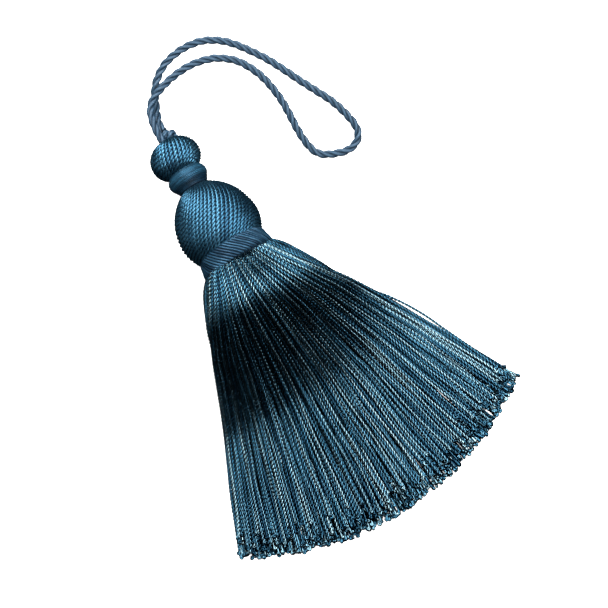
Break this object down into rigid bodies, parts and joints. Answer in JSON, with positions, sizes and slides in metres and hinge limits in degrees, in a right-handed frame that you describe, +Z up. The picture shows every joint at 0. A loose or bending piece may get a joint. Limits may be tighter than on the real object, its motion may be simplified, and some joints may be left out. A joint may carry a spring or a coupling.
{
  "type": "key tassel",
  "caption": "Corded key tassel lying flat: twisted hanging loop, two cord-wound balls, satin neck and collar, and a fanned skirt of fine twisted cords.",
  "frame": {"origin": "on the surface that the tassel lies on, under the middle of the body's box, the loop left out", "axes": "+Y from the skirt's ends towards the head and its loop, +Z up from the surface, +X towards the side on which the loop lies"},
  "size_m": [0.1057, 0.1587, 0.0284],
  "materials": {
    "loop_cord": "twisted cord, slight sheen",
    "top_knot": "twisted cord, slight sheen",
    "small_ball": "wound two-ply cord, silky",
    "neck_wrap": "wrapped satin floss",
    "large_ball": "wound two-ply cord, silky",
    "skirt_collar": "slanting satin floss",
    "skirt": "fine twisted cords, silky"
  },
  "bodies": {
    "root": {"loop_cord": "loop_cord", "top_knot": "top_knot", "small_ball": "small_ball", "neck_wrap": "neck_wrap", "large_ball": "large_ball", "skirt_collar": "skirt_collar", "skirt": "skirt"}
  },
  "joints": []
}
